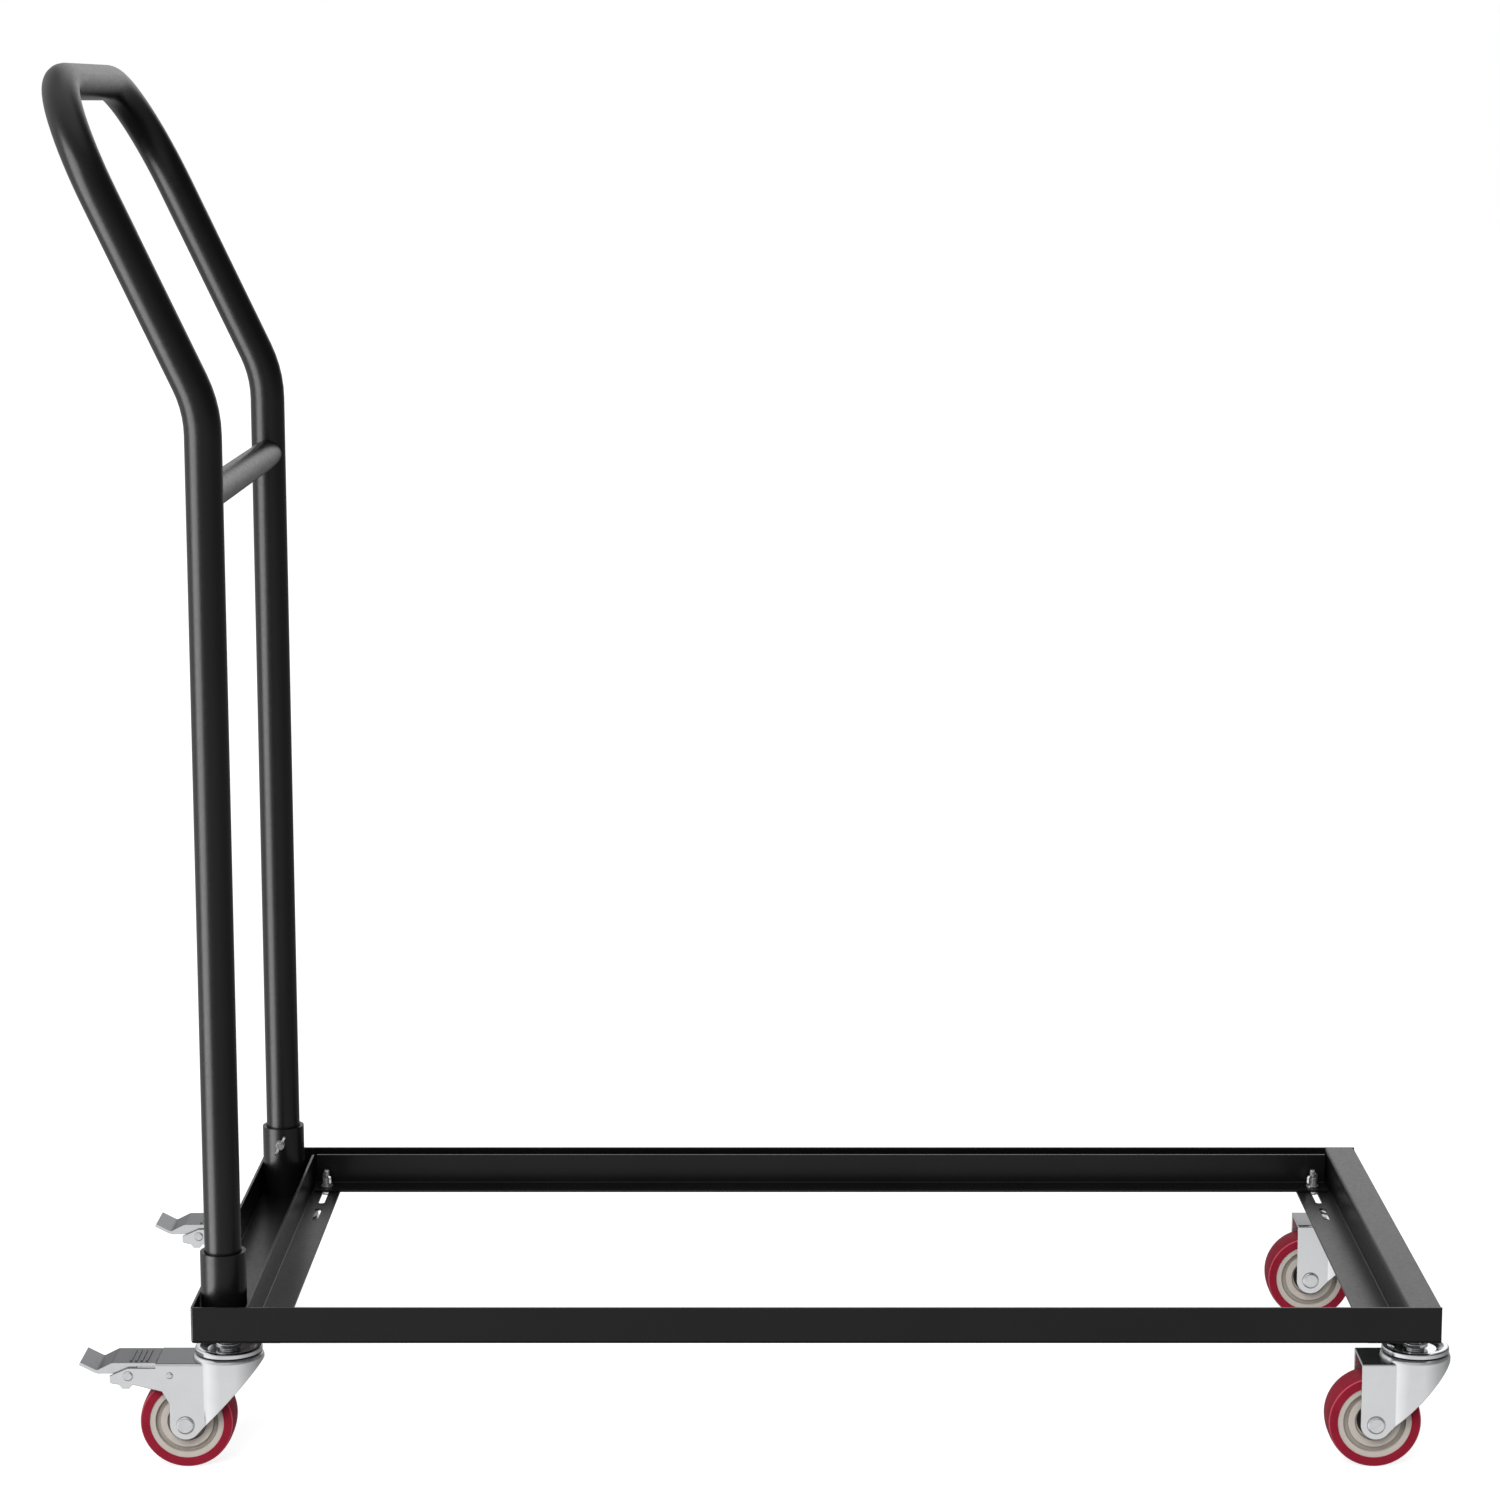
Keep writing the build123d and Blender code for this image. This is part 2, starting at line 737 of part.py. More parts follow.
def brake_pedal():
    """Stamped pedal with a hooked tip and cross ribs, hung on two lugs inside the ears."""
    axle = Pos(-trail, axle_height)
    line = FilletPolyline(
        (-pedal_front - side_play, pedal_level),
        (-pedal_flat_end, pedal_level),
        (-pedal_valley_reach, pedal_level - pedal_valley_drop),
        (-pedal_tip_reach, pedal_level + pedal_tip_rise),
        radius=pedal_bend,
    )
    plate = Plane.XZ * (axle * trace(line, pedal_sheet))
    outer = yoke_inside / 2 - side_play
    pedal = extrude(plate, outer, both=True)
    rib_length, rib_across, rib_rise = pedal_rib_size
    for i in range(pedal_rib_count):
        x = -trail - pedal_rib_start - i * pedal_rib_pitch
        pedal += Pos(x, 0, web_top) * Box(rib_length, rib_across, 2 * rib_rise)
    pivot_x, pivot_z = pedal_pivot
    lug = Pos(pivot_x, pivot_z) * Circle(lug_radius)
    lug_height = pedal_level - pivot_z
    lug += Pos(pivot_x, pivot_z + lug_height / 2) * Rectangle(2 * lug_radius, lug_height)
    valley = pedal_level - pedal_valley_drop
    skirt = valley - pedal_sheet / 2
    lug += outline(
        (pivot_x, pedal_level),
        (-pedal_flat_end, pedal_level),
        (-pedal_valley_reach, valley),
        (-pedal_valley_reach, skirt),
        (pivot_x, skirt),
    )
    lug -= Pos(pivot_x, pivot_z) * Circle(pivot_diameter / 2 + running_play)
    lug_solid = extrude(Plane.XZ * (axle * lug), lug_plate)
    for face in (outer, lug_plate - outer):
        pedal += Pos(0, face, 0) * lug_solid
    return pedal


def brake_shoe():
    """Curved shoe over the tread, hung on the small rivet by an eye."""
    start, end = shoe_angles
    arcs = []
    for radius in (shoe_outer - shoe_sheet, shoe_outer):
        arcs.append(CenterArc((0, 0), radius, start, end - start))
    ends = [Line(arcs[0] @ t, arcs[1] @ t) for t in (0, 1)]
    shoe = make_face(Curve() + arcs + ends)
    shoe += Pos(*shoe_pivot) * Circle(shoe_eye_radius)
    shoe -= Pos(*shoe_pivot) * Circle(shoe_pin_diameter / 2 + running_play)
    return extrude(Plane.XZ * (Pos(-trail, axle_height) * shoe), tread_width / 2 - shoe_margin, both=True)


def brake_rivets():
    """Pedal pivot and shoe pin, headed outside both ears."""
    half = yoke_width / 2
    rivets = []
    sizes = (
        (pedal_pivot, pivot_diameter, pivot_head_diameter),
        (shoe_pivot, shoe_pin_diameter, shoe_pin_head_diameter),
    )
    for (x, z), diameter, head_diameter in sizes:
        x -= trail
        z += axle_height
        rivet = cross_pin(x, z, -half, half, diameter / 2)
        for side in (-1, 1):
            head = cross_pin(x, z, side * half, side * (half + rivet_head_height), head_diameter / 2)
            face_rim = max(head.edges().filter_by(GeomType.CIRCLE), key=lambda e: abs(e.center().Y))
            rivet += fillet(face_rim, rivet_round)
        rivets.append(rivet)
    return rivets


def swivel_set(name):
    """Fixed pieces of one caster: stem, races, nuts and balls, by the node they belong to."""
    bore = pin_diameter / 2 + fixed_play
    nut_bottom = floor_top if name in braked_casters else frame_bottom + caster_plate
    race = ring(0, 0, lower_race_top - lower_race, lower_race_top, lower_race_diameter / 2, bore)
    balls = ball_row(upper_ball_level, upper_ball_circle, upper_ball_count)
    balls += ball_row(lower_ball_level, lower_ball_circle, lower_ball_count)
    return {
        "caster_stems": [caster_stem()],
        "upper_races": [upper_race()],
        "lower_races": [race],
        "stem_jam_nuts": [hex_nut(0, 0, collar_top, frame_bottom, stem_nut_flats, bore)],
        "stem_top_nuts": [hex_nut(0, 0, nut_bottom, nut_bottom + top_nut_height, stem_nut_flats, bore)],
        "swivel_balls": balls,
    }


def caster_set(name):
    """Turning pieces of one caster, by node name."""
    braked = name in braked_casters
    pieces = {
        f"{name}_yoke": [caster_yoke(braked)],
        f"{name}_axle_bolt": [axle_bolt()],
        f"{name}_axle_fittings": axle_fittings(),
        f"{name}_tyre": [caster_tyre()],
        f"{name}_hub": [caster_hub()],
        f"{name}_wheel_bearings": wheel_bearings(),
    }
    if braked:
        pieces[f"{name}_brake_pedal"] = [brake_pedal()]
        pieces[f"{name}_brake_shoe"] = [brake_shoe()]
        pieces[f"{name}_brake_rivets"] = brake_rivets()
    return pieces


# Every node, as the list of its solids
nodes = {
    "front_side_rail": [side_rail(front, 1)],
    "back_side_rail": [side_rail(back, -1)],
    "handle_end_tray": [handle_end_tray()],
    "handle_end_angle": [handle_end_angle()],
    "toe_end_rail": [toe_end_rail()],
    "toe_caster_plates": toe_caster_plates(),
    "handle_sockets": handle_sockets(),
    "handle_tube": [handle_tube()],
    "cross_bar": [cross_bar()],
    "inner_rail": [inner_rail()],
    "clamp_bolts": clamp_bolts(),
}
for side_name in socket_sides:
    stud, head = wing_screw(side_name)
    nodes[f"{side_name}_wing_screw_stud"] = [stud]
    nodes[f"{side_name}_wing_screw_head"] = [head]
for end_name, x, turn in zip(("handle_end", "toe_end"), slot_places, wing_nut_turns):
    nodes[f"{end_name}_clamp_washer"] = [clamp_washer(x)]
    nodes[f"{end_name}_wing_nut"] = [wing_nut(x, turn)]
for caster_name, (x, y) in caster_places.items():
    for node_name, pieces in {**swivel_set(caster_name), **caster_set(caster_name)}.items():
        nodes.setdefault(node_name, []).extend(Pos(x, y, 0) * piece for piece in pieces)

os.makedirs("parts", exist_ok=True)
for node_name, pieces in nodes.items():
    solids = [solid for piece in pieces for solid in piece.solids()]
    shape = solids[0] if len(solids) == 1 else Compound(children=solids)
    export_step(shape, f"parts/{node_name}.step")
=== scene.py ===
import math

import bpy
import numpy as np
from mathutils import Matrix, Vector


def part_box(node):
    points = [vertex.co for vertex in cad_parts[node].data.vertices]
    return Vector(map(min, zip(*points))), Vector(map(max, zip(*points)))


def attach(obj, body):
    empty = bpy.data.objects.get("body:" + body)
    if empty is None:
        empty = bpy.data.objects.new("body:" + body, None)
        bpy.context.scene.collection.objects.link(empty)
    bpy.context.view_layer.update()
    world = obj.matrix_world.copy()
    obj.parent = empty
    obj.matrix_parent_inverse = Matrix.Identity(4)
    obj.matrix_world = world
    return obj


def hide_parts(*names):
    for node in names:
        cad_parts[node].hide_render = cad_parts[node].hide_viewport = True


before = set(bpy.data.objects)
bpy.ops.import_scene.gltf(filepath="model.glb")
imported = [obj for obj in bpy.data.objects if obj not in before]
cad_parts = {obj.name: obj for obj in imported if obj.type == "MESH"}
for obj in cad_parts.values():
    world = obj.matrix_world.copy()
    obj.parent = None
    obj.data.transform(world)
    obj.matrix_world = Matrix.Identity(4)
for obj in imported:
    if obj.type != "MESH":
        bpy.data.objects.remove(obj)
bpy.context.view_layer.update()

# Welded base: side rails, end rails and caster plates folded from 2 mm steel sheet.
# The welds are ground flush, and the whole frame is powder coated satin black after welding.
metre_mm = 1000


def linear_colour(hex_colour):
    """Each sRGB channel of a hex colour by the standard curve to linear light, with full opacity."""
    channels = np.array([int(hex_colour[i:i + 2], 16) for i in (1, 3, 5)]) / 255
    curved = ((channels + 0.055) / 1.055) ** 2.4
    linear = np.where(channels <= 0.04045, channels / 12.92, curved)
    return (*linear.tolist(), 1.0)


def add_node(tree, kind, inputs=(), stops=(), **settings):
    """Adds one shader node, sets its settings, sets or links its inputs by name, and gives a colour ramp its
    stops, each a position from 0 to 1 and a colour."""
    node = tree.nodes.new("ShaderNode" + kind)
    for name, value in settings.items():
        setattr(node, name, value)
    for name, value in dict(inputs).items():
        if isinstance(value, bpy.types.NodeSocket):
            tree.links.new(value, node.inputs[name])
        else:
            node.inputs[name].default_value = value
    if stops:
        marks = node.color_ramp.elements
        while len(marks) < len(stops):
            marks.new(0.5)
        for mark, (position, colour) in zip(marks, stops):
            mark.position = position
            mark.color = colour
    return node


def empty_material(name):
    """Material of that name with no nodes yet."""
    material = bpy.data.materials.new(name)
    material.use_nodes = True
    material.node_tree.nodes.clear()
    return material


def finish_nodes(names, material):
    """Gives each CAD node of these names that material and no other."""
    for name in names:
        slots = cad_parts[name].data.materials
        slots.clear()
        slots.append(material)


def powder_coat(name, dark, light, peel_mm, cloud_mm):
    """Sprayed and baked polyester powder on steel: near black, satin, with a faint orange peel that
    breaks up the highlights, and a coat thickness that varies in soft clouds."""
    smoothest, roughest = 0.28, 0.35
    peel_height, peel_strength = 0.0002, 0.1
    edge_radius = 0.0005
    material = empty_material(name)
    tree = material.node_tree
    place = add_node(tree, "TexCoord").outputs["Object"]
    clouds = add_node(tree, "TexNoise", {"Vector": place, "Scale": metre_mm / cloud_mm, "Detail": 2.0})
    peel = add_node(tree, "TexNoise", {"Vector": place, "Scale": metre_mm / peel_mm, "Detail": 3.0})
    shade = add_node(tree, "ValToRGB", {"Fac": clouds.outputs["Fac"]},
                     stops=[(0.35, linear_colour(dark)), (0.65, linear_colour(light))])
    gloss = add_node(tree, "MapRange", {"Value": peel.outputs["Fac"], "From Min": 0.3, "From Max": 0.7,
                                        "To Min": smoothest, "To Max": roughest})
    rounded = add_node(tree, "Bevel", {"Radius": edge_radius}, samples=4)
    skin = add_node(tree, "Bump", {"Height": peel.outputs["Fac"], "Strength": peel_strength,
                                   "Distance": peel_height, "Normal": rounded.outputs["Normal"]})
    paint = add_node(tree, "BsdfPrincipled", {
        "Base Color": shade.outputs["Color"], "Roughness": gloss.outputs["Result"],
        "Specular IOR Level": 0.25, "IOR": 1.5, "Normal": skin.outputs["Normal"]})
    add_node(tree, "OutputMaterial", {"Surface": paint.outputs["BSDF"]})
    return material


# Orange peel is about 1 mm across on such a coat; it is drawn at 3 mm, the least that shows here.
black_coat = powder_coat("satin_black_powder_coat", "#0b0b0b", "#0f0f10", peel_mm=3.0, cloud_mm=90.0)
base_names = ["front_side_rail", "back_side_rail", "handle_end_tray", "handle_end_angle", "toe_end_rail",
              "toe_caster_plates"]
finish_nodes(base_names, black_coat)

# Handle sockets: two lengths of thick round tube welded upright on the tray floor.
# They are coated together with the base, and so is the loose inner rail, folded from the same sheet.
socket_names = ["handle_sockets", "inner_rail"]
finish_nodes(socket_names, black_coat)

# Handle: one round steel tube bent at four places, with a straight cross bar welded between its legs.
# Drawn tube is smoother than hot rolled sheet, so its coat lies flatter.
tube_coat = powder_coat("satin_black_coat_on_tube", "#0b0b0b", "#0f0f10", peel_mm=4.0, cloud_mm=140.0)
tube_names = ["handle_tube", "cross_bar"]
finish_nodes(tube_names, tube_coat)

# Wing screws that clamp the handle in its sockets: a rolled M5 thread of 0.8 mm pitch with a cast wing head.
# Steel stud and zinc casting alike are bright zinc plated, and so are the washers and wing nuts of the rail.
screw_radius = 0.0025
screw_pitch = 0.0008
stud_chamfer = 0.0006
# A Mix node names its sockets alike for every kind of data, so its two colours and their mix go by number.
mix_first, mix_second, mixed = 6, 7, 2


def bright_zinc(name, dark, light, top, rough, grain_mm, cloud_mm, edge_mm, seam_mm, unshaded_at=0.85,
                own_seams=False):
    """Electroplated zinc with a clear passivation: pale, cool and bright. The bath leaves soft clouds in the
    colour, the fine grain of the steel under it breaks up the highlights, faces that lie level get a darker
    top colour, painted shade for the dark frame they mirror, and painted shade darkens the inner corners and
    seams."""
    corner_shade = "#3c3d40"
    corner_shade_fade = 0.55
    gloss_spread = 0.015
    grain_height, grain_strength = 0.0001, 0.03
    material = empty_material(name)
    tree = material.node_tree
    place = add_node(tree, "TexCoord").outputs["Object"]
    clouds = add_node(tree, "TexNoise", {"Vector": place, "Scale": metre_mm / cloud_mm, "Detail": 3.0})
    grain = add_node(tree, "TexNoise", {"Vector": place, "Scale": metre_mm / grain_mm, "Detail": 2.0})
    plain = add_node(tree, "ValToRGB", {"Fac": clouds.outputs["Fac"]},
                     stops=[(0.3, linear_colour(dark)), (0.7, linear_colour(light))])
    gloss = add_node(tree, "MapRange", {"Value": clouds.outputs["Fac"], "From Min": 0.3, "From Max": 0.7,
                                        "To Min": rough - gloss_spread, "To Max": rough + gloss_spread})
    # Painted shade: faces that lie level take the top colour, standing for the dark frame they mirror.
    upward = add_node(tree, "SeparateXYZ", {"Vector": add_node(tree, "TexCoord").outputs["Normal"]})
    level_face_mask = add_node(tree, "MapRange", {"Value": upward.outputs["Z"], "From Min": 0.6, "From Max": 0.9})
    top_shade_painted = add_node(tree, "Mix", {"Factor": level_face_mask.outputs["Result"], mix_first: plain.outputs["Color"],
                                    mix_second: linear_colour(top)}, data_type="RGBA")
    # Painted shade: inner corners and seams between pieces turn to the dark corner colour where ambient
    # occlusion finds surfaces close by.
    open_side = add_node(tree, "AmbientOcclusion", {"Distance": seam_mm / metre_mm}, samples=8,
                         only_local=own_seams)
    unshaded = add_node(tree, "MapRange", {"Value": open_side.outputs["AO"], "From Min": unshaded_at - corner_shade_fade,
                                        "From Max": unshaded_at})
    shade = add_node(tree, "Mix", {"Factor": unshaded.outputs["Result"], mix_first: linear_colour(corner_shade),
                                   mix_second: top_shade_painted.outputs[mixed]}, data_type="RGBA")
    rounded = add_node(tree, "Bevel", {"Radius": edge_mm / metre_mm}, samples=6)
    skin = add_node(tree, "Bump", {"Height": grain.outputs["Fac"], "Strength": grain_strength,
                                   "Distance": grain_height, "Normal": rounded.outputs["Normal"]})
    plate = add_node(tree, "BsdfPrincipled", {
        "Base Color": shade.outputs[mixed], "Metallic": 0.8, "Roughness": gloss.outputs["Result"],
        "Normal": skin.outputs["Normal"]})
    add_node(tree, "OutputMaterial", {"Surface": plate.outputs["BSDF"]})
    return material


def turned_grid(radii, heights, grooves, pitch, columns=40):
    """Surface turned about the upright axis. Row by row it has the given radius and height; where a row has
    a groove, its radius dips by the groove times a triangle wave of height over pitch less the share of a
    turn, which is a screw thread."""
    share = np.arange(columns) / columns
    wave = np.abs(2 * np.mod(heights[:, None] / pitch - share[None, :], 1) - 1)
    radius = radii[:, None] - grooves[:, None] * wave
    turn = 2 * np.pi * share[None, :]
    tall = np.broadcast_to(heights[:, None], radius.shape)
    return np.stack([radius * np.cos(turn), radius * np.sin(turn), tall], axis=-1)


def threaded_shank(bottom, top, radius, pitch, chamfer):
    """Radius, height and groove of each row of a screw shank from bottom to top: sixteen rows to a pitch, a
    groove six tenths of the pitch deep, and a chamfer at the top that tapers to the bottom of the groove."""
    rows_per_pitch = 16
    depth = 0.6 * pitch
    heights = np.linspace(bottom, top, int(math.ceil((top - bottom) / pitch * rows_per_pitch)) + 1)
    taper = np.clip((heights - (top - chamfer)) / chamfer, 0, 1)
    return radius - depth * taper, heights, depth * (1 - taper)


def solid_mesh(name, grids, material, sharp_degrees=40):
    """One mesh of closed turned surfaces: four-sided faces between neighbouring rows and columns, the last
    column joined to the first, and a flat face over each end."""
    corners, faces, count = [], [], 0
    for grid in grids:
        rows, columns = grid.shape[:2]
        index = np.arange(rows * columns).reshape(rows, columns) + count
        beside = np.roll(index, -1, axis=1)
        walls = np.stack([index[:-1], beside[:-1], beside[1:], index[1:]], axis=-1).reshape(-1, 4)
        faces += walls.tolist() + [index[0, ::-1].tolist(), index[-1].tolist()]
        corners.append(grid.reshape(-1, 3))
        count += rows * columns
    mesh = bpy.data.meshes.new(name)
    mesh.from_pydata(np.concatenate(corners).tolist(), [], faces)
    mesh.shade_smooth()
    mesh.set_sharp_from_angle(angle=math.radians(sharp_degrees))
    mesh.materials.append(material)
    piece = bpy.data.objects.new(name, mesh)
    bpy.context.scene.collection.objects.link(piece)
    return piece


# The grain under the plate is finer than 0.1 mm; it is drawn at about 1 mm, the least that shows here.
# Painted shade darkens the seams and inner corners of these fasteners.
fastener_zinc = bright_zinc("bright_zinc_on_turned_steel", "#d2d3d6", "#dedfe1", "#d2d3d6", 0.2,
                            grain_mm=0.8, cloud_mm=5.0, edge_mm=0.4, seam_mm=1.2)
wing_zinc = bright_zinc("bright_zinc_on_castings", "#e2e3e5", "#ececee", "#e2e3e5", 0.26, grain_mm=1.5,
                        cloud_mm=6.0, edge_mm=0.5, seam_mm=1.2)
for side in ("front", "back"):
    low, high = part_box(f"{side}_wing_screw_stud")
    middle = (low + high) / 2
    rows = threaded_shank(low.y, high.y, screw_radius, screw_pitch, stud_chamfer)
    upright = turned_grid(*rows, screw_pitch)
    lying = np.stack([middle.x + upright[..., 0], upright[..., 2], middle.z - upright[..., 1]], axis=-1)
    stud = solid_mesh(f"{side}_wing_screw_thread", [lying], fastener_zinc)
    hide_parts(f"{side}_wing_screw_stud")
    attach(stud, f"{side}_wing_screw_stud")
finish_nodes(["front_wing_screw_head", "back_wing_screw_head", "handle_end_wing_nut", "toe_end_wing_nut"],
             wing_zinc)
finish_nodes(["handle_end_clamp_washer", "toe_end_clamp_washer"], fastener_zinc)

# Clamp bolts of the inner rail: two M5 bolts put up through the slots from below, with low round heads.
# Cold headed and thread-rolled steel, bright zinc plated like the wing nuts on them.
bolt_head_radius = 0.006
bolt_head_height = 0.003
bolt_round_size = bolt_head_height / 2
bolt_round_rows = 9
bolt_chamfer = 0.0008
bolt_low, bolt_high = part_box("clamp_bolts")
round_steps = np.linspace(0, np.pi / 2, bolt_round_rows)
shank_radii, shank_heights, shank_grooves = threaded_shank(
    bolt_low.z + bolt_head_height, bolt_high.z, screw_radius, screw_pitch, bolt_chamfer)
head_radii = np.append(bolt_head_radius - bolt_round_size * (1 - np.sin(round_steps)), bolt_head_radius)
head_heights = np.append(bolt_low.z + bolt_round_size * (1 - np.cos(round_steps)),
                         bolt_low.z + bolt_head_height)
bolt = turned_grid(np.concatenate([head_radii, shank_radii]), np.concatenate([head_heights, shank_heights]),
                   np.concatenate([np.zeros(len(head_radii)), shank_grooves]), screw_pitch)
bolt_places = [bolt_low.x + bolt_head_radius, bolt_high.x - bolt_head_radius]
bolt_y = (bolt_low.y + bolt_high.y) / 2
bolts = solid_mesh("clamp_bolt_threads", [bolt + np.array([x, bolt_y, 0.0]) for x in bolt_places],
                   fastener_zinc)
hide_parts("clamp_bolts")
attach(bolts, "inner_rail")

# Caster stems with their nuts and lower races: turned steel, bright zinc plated.
# Each stem is peened under the yoke and bolted through the frame floor with a nut on each side.
finish_nodes(["caster_stems", "stem_jam_nuts", "stem_top_nuts", "lower_races"], fastener_zinc)

# Upper race of each caster: a pressed dish with a turned-up rim, chrome plated over steel.
# It is the bright ring that shows between the yoke and the frame.


def smooth_metal(name, colour, rough, smudge_mm):
    """Polished metal: mirror bright, with faint clouds in its gloss from handling and grease."""
    cleanest, greasiest = 0.7 * rough, 1.3 * rough
    material = empty_material(name)
    tree = material.node_tree
    place = add_node(tree, "TexCoord").outputs["Object"]
    smudge = add_node(tree, "TexNoise", {"Vector": place, "Scale": metre_mm / smudge_mm, "Detail": 2.0})
    gloss = add_node(tree, "MapRange", {"Value": smudge.outputs["Fac"], "From Min": 0.35, "From Max": 0.65,
                                        "To Min": cleanest, "To Max": greasiest})
    metal = add_node(tree, "BsdfPrincipled", {
        "Base Color": linear_colour(colour), "Metallic": 1.0, "Roughness": gloss.outputs["Result"]})
    add_node(tree, "OutputMaterial", {"Surface": metal.outputs["BSDF"]})
    return material


chrome = smooth_metal("chrome_plate", "#d6d7da", 0.14, smudge_mm=6.0)
finish_nodes(["upper_races"], chrome)

# Swivel balls: an upper and a lower row round each stem, between the races and the yoke's head.
# Hardened and ground steel, oiled and unplated, so darker than the pieces round them.
ball_steel = smooth_metal("ground_bearing_steel", "#9a9b9f", 0.18, smudge_mm=3.0)
finish_nodes(["swivel_balls"], ball_steel)

# Caster yokes: pressed from 2.5 mm steel sheet, with a drawn round head and two fork legs.
# Bright zinc plated after pressing, so the plate is even over the bends.
# The yoke's upward faces, such as the web, get a dark grey top colour: painted shade for the black frame they
# mirror.
yoke_zinc = bright_zinc("bright_zinc_on_pressed_sheet", "#dcdddf", "#e1e2e3", "#5c5d61", 0.17, grain_mm=1.2,
                        cloud_mm=16.0, edge_mm=0.9, seam_mm=1.0)
caster_names = ["handle_front", "handle_back", "toe_front", "toe_back"]
braked_names = caster_names[:2]
finish_nodes([f"{name}_yoke" for name in caster_names], yoke_zinc)

# Axle bolts with their nuts and spacers, which hold the wheels in the yokes, and the rivets of the brakes.
# Turned and headed steel, bright zinc plated like the stems.
for fitting in ("axle_bolt", "axle_fittings"):
    finish_nodes([f"{name}_{fitting}" for name in caster_names], fastener_zinc)
finish_nodes([f"{name}_brake_rivets" for name in braked_names], fastener_zinc)

# Brake pedals and shoes: pressed from the same sheet as the yokes, with four stamped ribs for grip.
# Their upward faces get a darker top colour, painted shade for the dark frame they mirror, and painted shade
# darkens the gaps between the ribs.
shade_painted_zinc = bright_zinc("shade_painted_zinc_on_pressed_sheet", "#d6d7d9", "#dcdddf", "#525357", 0.22, grain_mm=1.2,
                        cloud_mm=9.0, edge_mm=0.4, seam_mm=2.5, unshaded_at=0.98, own_seams=True)
for lever in ("brake_pedal", "brake_shoe"):
    finish_nodes([f"{name}_{lever}" for name in braked_names], shade_painted_zinc)

# Tyres: cast polyurethane bonded to the hub, crimson right through.
# Satin from the mould, with a painted highlight in lighter red on the rounded shoulders and painted shade in
# the inner corners.


def moulded(name, dark, light, groove_shade, shoulder_highlight, rough, sheen, mottle_mm, pit_mm, pit_depth_mm):
    """Moulded plastic: even colour with a soft mottle, the fine spark-eroded texture of the mould, painted
    shade that darkens its grooves and inner corners, and a painted highlight, a lighter colour on the rounded
    shoulders between the sides and the tread."""
    gloss_spread = 0.06
    groove_reach = 0.004
    pit_strength = 0.2
    material = empty_material(name)
    tree = material.node_tree
    place = add_node(tree, "TexCoord").outputs["Object"]
    mottle = add_node(tree, "TexNoise", {"Vector": place, "Scale": metre_mm / mottle_mm, "Detail": 3.0})
    pits = add_node(tree, "TexNoise", {"Vector": place, "Scale": metre_mm / pit_mm, "Detail": 2.0})
    plain = add_node(tree, "ValToRGB", {"Fac": mottle.outputs["Fac"]},
                     stops=[(0.3, linear_colour(dark)), (0.7, linear_colour(light))])
    gloss = add_node(tree, "MapRange", {"Value": pits.outputs["Fac"], "From Min": 0.3, "From Max": 0.7,
                                        "To Min": rough - gloss_spread, "To Max": rough + gloss_spread})
    # Painted highlight: the slanted shoulders between side and tread take the lighter shoulder colour.
    facing = add_node(tree, "SeparateXYZ", {"Vector": add_node(tree, "TexCoord").outputs["Normal"]})
    sideways = add_node(tree, "Math", {0: facing.outputs["Y"]}, operation="ABSOLUTE")
    slanted = add_node(tree, "MapRange", {"Value": sideways.outputs[0], "From Min": 0.3, "From Max": 0.5})
    flat_side = add_node(tree, "MapRange", {"Value": sideways.outputs[0], "From Min": 0.85, "From Max": 0.97})
    shoulder = add_node(tree, "Math", {0: slanted.outputs["Result"], 1: flat_side.outputs["Result"]},
                        operation="SUBTRACT")
    highlighted = add_node(tree, "Mix", {"Factor": shoulder.outputs[0], mix_first: plain.outputs["Color"],
                                   mix_second: linear_colour(shoulder_highlight)}, data_type="RGBA")
    # Painted shade: grooves and inner corners turn to the groove shade colour where ambient occlusion finds
    # surfaces close by.
    open_side = add_node(tree, "AmbientOcclusion", {"Distance": groove_reach}, samples=8, only_local=True)
    unshaded = add_node(tree, "MapRange", {"Value": open_side.outputs["AO"], "From Min": 0.35, "From Max": 0.9})
    shade = add_node(tree, "Mix", {"Factor": unshaded.outputs["Result"], mix_first: linear_colour(groove_shade),
                                   mix_second: highlighted.outputs[mixed]}, data_type="RGBA")
    skin = add_node(tree, "Bump", {"Height": pits.outputs["Fac"], "Strength": pit_strength,
                                   "Distance": pit_depth_mm / metre_mm})
    plastic = add_node(tree, "BsdfPrincipled", {
        "Base Color": shade.outputs[mixed], "Roughness": gloss.outputs["Result"], "IOR": 1.5,
        "Specular IOR Level": sheen, "Normal": skin.outputs["Normal"]})
    add_node(tree, "OutputMaterial", {"Surface": plastic.outputs["BSDF"]})
    return material


# The texture of a mould is about 0.1 mm across; it is drawn at about 1 mm, the least that shows here.
tread_red = moulded("cast_polyurethane_crimson", "#9a2337", "#a2293d", "#5c0a18", shoulder_highlight="#cc5a68", rough=0.4,
                    sheen=0.02, mottle_mm=14.0, pit_mm=1.5, pit_depth_mm=0.02)
tyre_names = [f"{name}_tyre" for name in caster_names]
finish_nodes(tyre_names, tread_red)

# Wheel hubs: injection moulded polypropylene, warm stone grey and matt.
# Ring steps on each side lead down to the sunk centre with the bearing, and painted shade darkens their
# corners.
hub_grey = moulded("moulded_polypropylene_stone", "#d3cac1", "#dad2c9", "#8a877f", shoulder_highlight="#dad2c9", rough=0.5,
                   sheen=0.3, mottle_mm=10.0, pit_mm=1.2, pit_depth_mm=0.04)
finish_nodes([f"{name}_hub" for name in caster_names], hub_grey)

